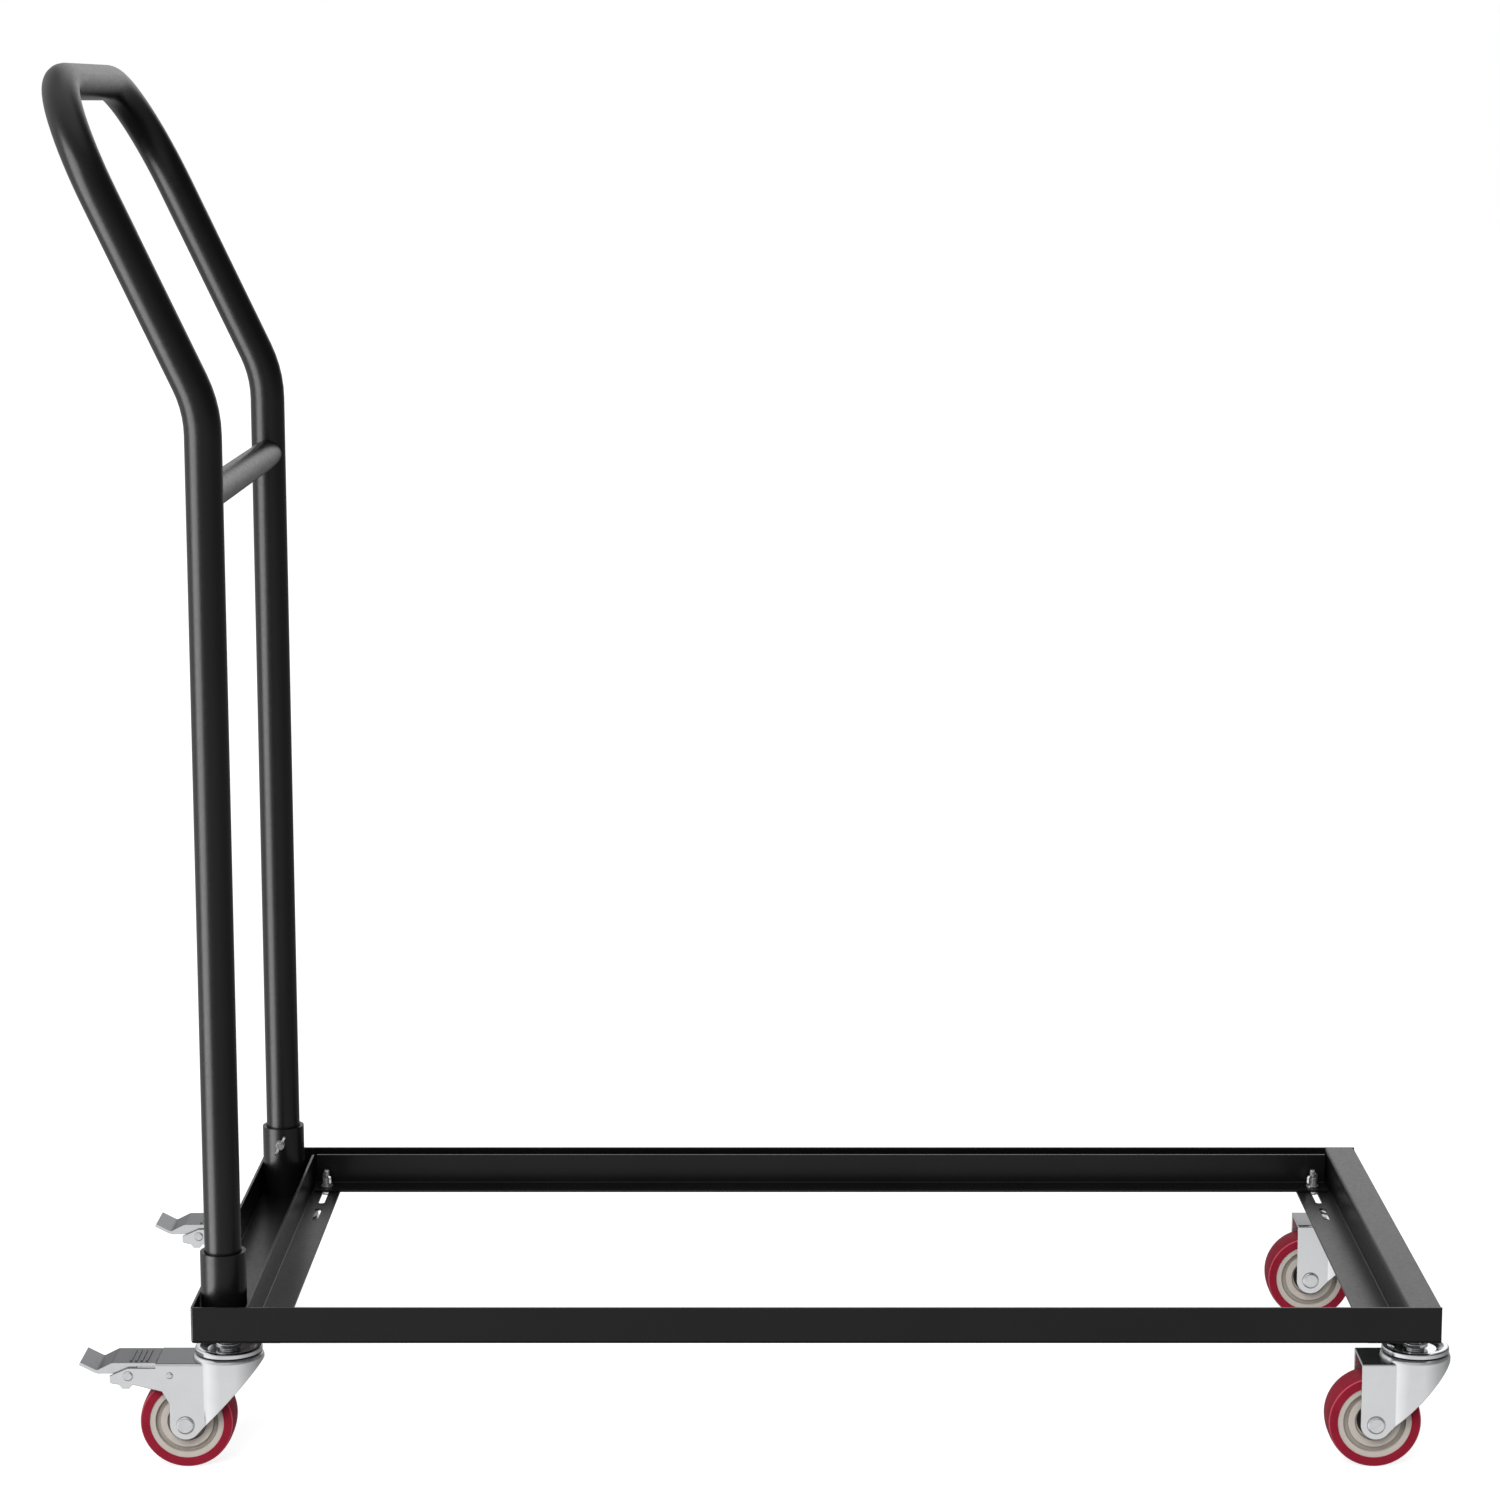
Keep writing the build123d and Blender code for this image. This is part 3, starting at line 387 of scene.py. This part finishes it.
# Wheel bearings: steel ball bearings pressed into the hub, closed by black nitrile rubber seals.
# Only the seals show, as a dark ring in the sunk centre of the hub; their near black is partly the seals' own
# colour and partly painted shade of that recess.
seal_black_and_shade = moulded("nitrile_rubber_seal_and_recess_shade", "#161616", "#1c1c1d", "#0c0c0c", shoulder_highlight="#1c1c1d", rough=0.5,
                     sheen=0.4, mottle_mm=5.0, pit_mm=0.8, pit_depth_mm=0.02)
finish_nodes([f"{name}_wheel_bearings" for name in caster_names], seal_black_and_shade)

# Studio floor: matt, lifted to white for the camera, with a faint shadow of the object left on it.
# Mirrors see the room's walls instead of it.
scene = bpy.context.scene
scene.view_settings.view_transform = "Standard"
floor_half = 30.0
floor_grey = "#b4b4b4"
near_lift, far_lift = 0.83, 0.95
near_reach, far_reach = 0.8, 4.0
floor_corners = [(-floor_half, -floor_half, 0), (floor_half, -floor_half, 0), (floor_half, floor_half, 0),
                 (-floor_half, floor_half, 0)]
floor_mesh = bpy.data.meshes.new("floor")
floor_mesh.from_pydata(floor_corners, [], [(0, 1, 2, 3)])
floor = bpy.data.objects.new("floor", floor_mesh)
scene.collection.objects.link(floor)
floor.visible_glossy = False
floor_white = empty_material("white_studio_floor")
floor_mesh.materials.append(floor_white)
floor_tree = floor_white.node_tree
path = add_node(floor_tree, "LightPath")
place = add_node(floor_tree, "TexCoord").outputs["Object"]
away = add_node(floor_tree, "VectorMath", {0: place}, operation="LENGTH")
shown = add_node(floor_tree, "MapRange", {"Value": away.outputs["Value"], "From Min": near_reach,
                                          "From Max": far_reach, "To Min": near_lift, "To Max": far_lift})
seen = add_node(floor_tree, "Math", {0: path.outputs["Is Camera Ray"],
                                     1: path.outputs["Is Transmission Ray"]}, operation="MAXIMUM")
lift = add_node(floor_tree, "Math", {0: seen.outputs[0], 1: shown.outputs["Result"]}, operation="MULTIPLY")
glow = add_node(floor_tree, "Emission", {"Strength": lift.outputs[0]})
matt = add_node(floor_tree, "BsdfDiffuse", {"Color": linear_colour(floor_grey)})
both = add_node(floor_tree, "AddShader", {0: matt.outputs[0], 1: glow.outputs[0]})
add_node(floor_tree, "OutputMaterial", {"Surface": both.outputs[0]})

# Studio room: white for the camera, and even, soft light on every matt surface.
# Mirrors see walls of uneven brightness: white behind, bright at the left, dimmer at the right, a bright roof
# and a grey ground. Each ring gives degrees from the front, left negative, and the brightness there.
ambient = 0.42
roof_light = (1.3, 1.3, 1.3, 1.0)
ground_grey = "#626262"
low_ring = [(-180, 0.38), (-150, 0.45), (-120, 0.9), (-70, 1.25), (-25, 0.86), (25, 0.86), (74, 0.5),
            (122, 0.26), (160, 0.26), (180, 0.38)]
level_ring = [(-180, 1.15), (-171, 0.9), (-160, 0.45), (-140, 0.7), (-90, 1.2), (-45, 0.6), (0, 0.45),
              (68, 0.1), (140, 0.12), (168, 1.4), (180, 1.15)]
# Upward shares of a direction between which the low ring, the level ring, the roof and the ground blend.
horizon_span, roof_span, ground_span = (-0.2, 0.2), (0.75, 0.95), (-0.5, -0.8)
world = bpy.data.worlds.new("studio")
scene.world = world
world.use_nodes = True
room_tree = world.node_tree
room_tree.nodes.clear()
path = add_node(room_tree, "LightPath")
outward = add_node(room_tree, "TexCoord").outputs["Generated"]
direction = add_node(room_tree, "SeparateXYZ", {"Vector": outward})
front = add_node(room_tree, "Math", {0: direction.outputs["Y"], 1: -1.0}, operation="MULTIPLY")
bearing = add_node(room_tree, "Math", {0: direction.outputs["X"], 1: front.outputs[0]}, operation="ARCTAN2")
round_room = add_node(room_tree, "MapRange", {"Value": bearing.outputs[0], "From Min": -math.pi,
                                              "From Max": math.pi})
low_wall, level_wall = [
    add_node(room_tree, "ValToRGB", {"Fac": round_room.outputs["Result"]},
             stops=[((degrees + 180) / 360, (light, light, light, 1.0)) for degrees, light in ring])
    for ring in (low_ring, level_ring)]
rising, overhead, underfoot = [
    add_node(room_tree, "MapRange", {"Value": direction.outputs["Z"], "From Min": start, "From Max": end},
             interpolation_type="SMOOTHSTEP")
    for start, end in (horizon_span, roof_span, ground_span)]
walls = add_node(room_tree, "Mix", {"Factor": rising.outputs["Result"], mix_first: low_wall.outputs["Color"],
                                    mix_second: level_wall.outputs["Color"]}, data_type="RGBA")
roofed = add_node(room_tree, "Mix", {"Factor": overhead.outputs["Result"], mix_first: walls.outputs[mixed],
                                     mix_second: roof_light}, data_type="RGBA")
mirrored = add_node(room_tree, "Mix", {"Factor": underfoot.outputs["Result"],
                                       mix_first: roofed.outputs[mixed],
                                       mix_second: linear_colour(ground_grey)}, data_type="RGBA")
soft = add_node(room_tree, "Mix", {"Factor": path.outputs["Is Glossy Ray"], "A": ambient,
                                   "B": mirrored.outputs[mixed]})
seen = add_node(room_tree, "Math", {0: path.outputs["Is Camera Ray"],
                                    1: path.outputs["Is Transmission Ray"]}, operation="MAXIMUM")
strength = add_node(room_tree, "Math", {0: soft.outputs["Result"], 1: seen.outputs[0]}, operation="MAXIMUM")
white = add_node(room_tree, "Background", {"Color": linear_colour("#ffffff"),
                                           "Strength": strength.outputs[0]})
add_node(room_tree, "OutputWorld", {"Surface": white.outputs[0]})

# Lamps: a large one in front at the left and a weak one overhead, which no mirror shows.
# A tall one at the left, which only coated pieces and tyres get, draws the long highlight down the tubes and
# the shoulders of the tyres; the floor doesn't cut it short, so it runs down to the sockets.


def softbox(name, place, aim, width, height, radiance):
    """Rectangular lamp that faces a point. Its power is its radiance times pi times its area."""
    lamp = bpy.data.lights.new(name, "AREA")
    lamp.shape = "RECTANGLE"
    lamp.size = width
    lamp.size_y = height
    lamp.energy = radiance * math.pi * width * height
    holder = bpy.data.objects.new(name, lamp)
    scene.collection.objects.link(holder)
    holder.location = place
    towards = Vector(aim) - Vector(place)
    holder.rotation_euler = towards.to_track_quat("-Z", "Y").to_euler()
    holder.visible_camera = False
    holder.visible_glossy = False
    return holder


softbox("key_softbox", place=(-1.3, -4.6, 3.6), aim=(0.0, 0.0, 0.2), width=3.0, height=3.0, radiance=6.8)
softbox("top_softbox", place=(0.2, 1.2, 3.2), aim=(0.0, 0.0, 0.3), width=2.6, height=1.6, radiance=1.2)
strip = softbox("tall_softbox", place=(-3.03, -1.7, 0.1), aim=(-0.43, -0.1, 0.1), width=2.3, height=4.4,
                radiance=9.5)
coated = bpy.data.collections.new("coated_pieces")
for name in base_names + socket_names + tube_names + tyre_names:
    coated.objects.link(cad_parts[name])
strip.visible_glossy = True
strip.visible_diffuse = False
strip.light_linking.receiver_collection = coated
strip.light_linking.blocker_collection = coated

# Camera at the photograph's viewing angle: a long lens, looking a little down along the cart's width.
# The shift centres the cart as the photograph does.
camera = bpy.data.cameras.new("camera")
camera.sensor_width = 36.0
camera.lens = 92.62
camera.shift_x = -0.0167
viewer = bpy.data.objects.new("camera", camera)
scene.collection.objects.link(viewer)
viewer.location = (0.014925, -3.2039, 1.0933)
viewer.rotation_euler = (math.radians(80.45), 0.0, 0.0)
scene.camera = viewer
